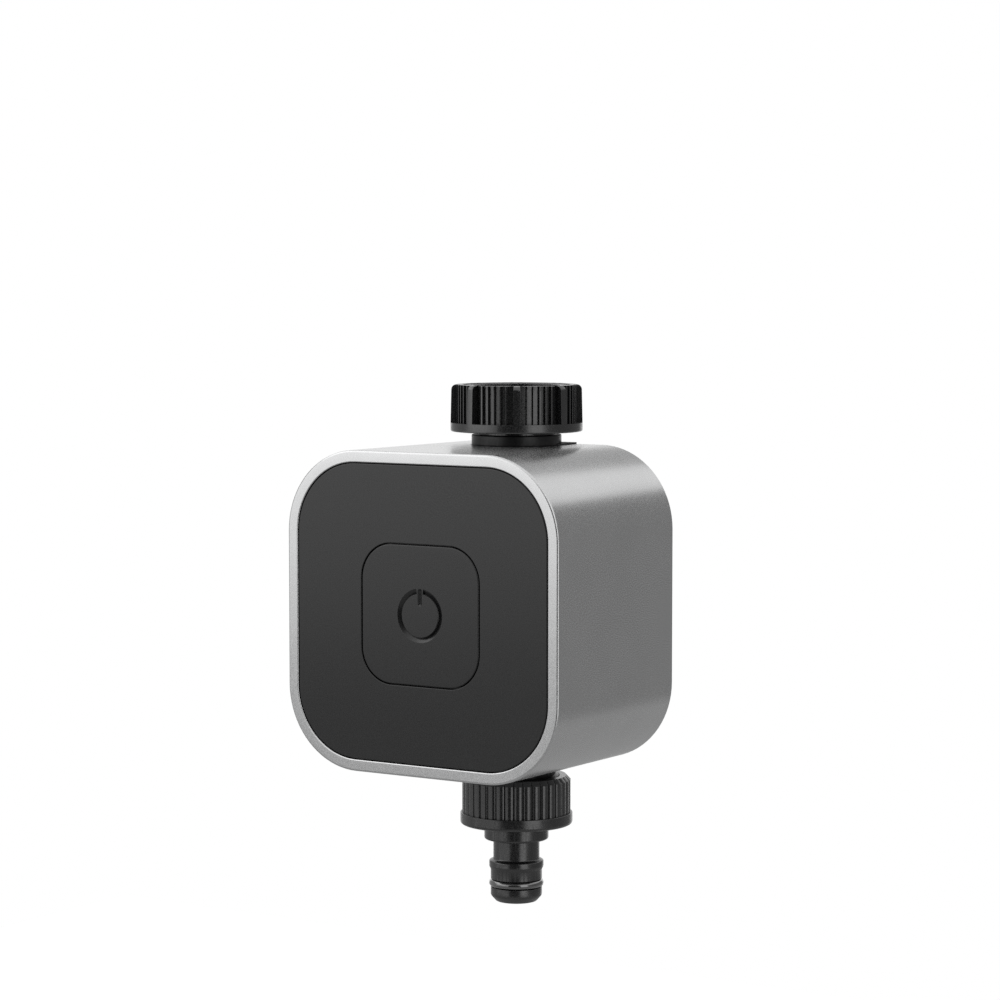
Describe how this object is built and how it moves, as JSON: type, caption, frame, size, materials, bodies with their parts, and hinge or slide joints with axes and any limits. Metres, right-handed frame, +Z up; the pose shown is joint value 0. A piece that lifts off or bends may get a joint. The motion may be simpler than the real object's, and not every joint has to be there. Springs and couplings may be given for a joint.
{
  "type": "smart irrigation controller",
  "caption": "Battery water controller in a rounded square metal case that screws to a garden tap, with a button on its dark front and a quick hose connector below.",
  "frame": {"origin": "on the water pipe's axis, on the sealing face of the inlet washer, where the tap's end seats", "axes": "+Z up along the pipe, -Y out of the face with the button, +X to the right of that face"},
  "size_m": [0.096, 0.0728, 0.1597],
  "materials": {
    "silver_shell": "bead-blasted, anodised",
    "panel_black": "fine matt texture",
    "housing_black": "moulded, matt",
    "fitting_black": "moulded glass-filled nylon, satin",
    "valve_grey": "moulded, satin",
    "rubber_black": "soft, satin",
    "spring_steel": "drawn wire",
    "screw_steel": "zinc plated",
    "magnet_steel": "turned, nickel plated",
    "copper_wire": "enamelled copper wire",
    "board_green": "solder mask",
    "component_dark": "moulded",
    "tin_shield": "tinned sheet",
    "cell_jacket": "printed plain jacket, satin",
    "contact_nickel": "nickel plated",
    "strainer_grey": "moulded"
  },
  "bodies": {
    "valve_module": {"inlet_tailpiece": "fitting_black", "tailpiece_seal": "rubber_black", "tailpiece_clip": "spring_steel", "inlet_washer": "rubber_black", "inlet_strainer": "strainer_grey", "coil_pins": "contact_nickel", "valve_body": "fitting_black", "diaphragm": "rubber_black", "diaphragm_spring": "spring_steel", "bonnet": "valve_grey", "bonnet_screws": "screw_steel", "valve_screws": "screw_steel", "plunger_spring": "spring_steel", "solenoid_core": "magnet_steel", "solenoid_bobbin": "valve_grey", "coil_winding": "copper_wire", "solenoid_yoke": "magnet_steel", "inner_frame": "housing_black", "housing_gasket": "rubber_black", "frame_screws": "screw_steel", "rear_housing": "housing_black", "circuit_board": "board_green", "board_screws": "screw_steel", "tactile_switch": "component_dark", "radio_module": "tin_shield", "board_components": "component_dark", "battery_left": "cell_jacket", "battery_right": "cell_jacket", "battery_contacts": "contact_nickel", "battery_spring_left": "spring_steel", "battery_spring_right": "spring_steel"},
    "front_housing": {"outer_shell": "silver_shell", "front_panel": "panel_black", "button_membrane": "rubber_black", "membrane_retainer": "housing_black", "retainer_screws": "screw_steel"},
    "push_button": {"push_button": "panel_black"},
    "inlet_nut": {"inlet_union_nut": "fitting_black", "thread_adapter": "fitting_black"},
    "poppet": {"poppet": "valve_grey"},
    "plunger": {"plunger": "magnet_steel"},
    "outlet_seat": {"outlet_washer": "rubber_black"},
    "hose_connector": {"outlet_connector": "fitting_black", "spigot_seal": "rubber_black"}
  },
  "joints": [
    {"name": "front_housing_slide", "type": "slide", "parent": "valve_module", "child": "front_housing", "axis": [0, -1, 0], "range_m": [0, 0.062]},
    {"name": "button_press", "type": "slide", "parent": "front_housing", "child": "push_button", "axis": [0, 1, 0], "range_m": [0, 0.0007], "stiffness_N_per_m": 2500, "springref_m": -0.0003, "deforming": ["button_membrane"]},
    {"name": "inlet_nut_turn", "type": "hinge", "parent": "valve_module", "child": "inlet_nut", "pos_m": [0, 0, 0], "axis": [0, 0, 1], "continuous": true},
    {"name": "connector_travel", "type": "slide", "parent": "valve_module", "child": "outlet_seat", "axis": [0, 0, -1], "range_m": [0, 0.0091]},
    {"name": "connector_turn", "type": "hinge", "parent": "outlet_seat", "child": "hose_connector", "pos_m": [0, 0, -0.1194], "axis": [0, 0, -1], "range_deg": [0, 1800]},
    {"name": "poppet_lift", "type": "slide", "parent": "valve_module", "child": "poppet", "axis": [0, -1, 0], "range_m": [0, 0.0019], "stiffness_N_per_m": 400, "springref_m": -0.002, "deforming": ["diaphragm", "diaphragm_spring"]},
    {"name": "plunger_lift", "type": "slide", "parent": "valve_module", "child": "plunger", "axis": [0, -1, 0], "range_m": [0, 0.0012], "stiffness_N_per_m": 300, "springref_m": -0.002, "deforming": ["plunger_spring"]}
  ],
  "couplings": [
    {"joint": "connector_travel", "follows": "connector_turn", "m_per_rad": 0.00028871}
  ]
}
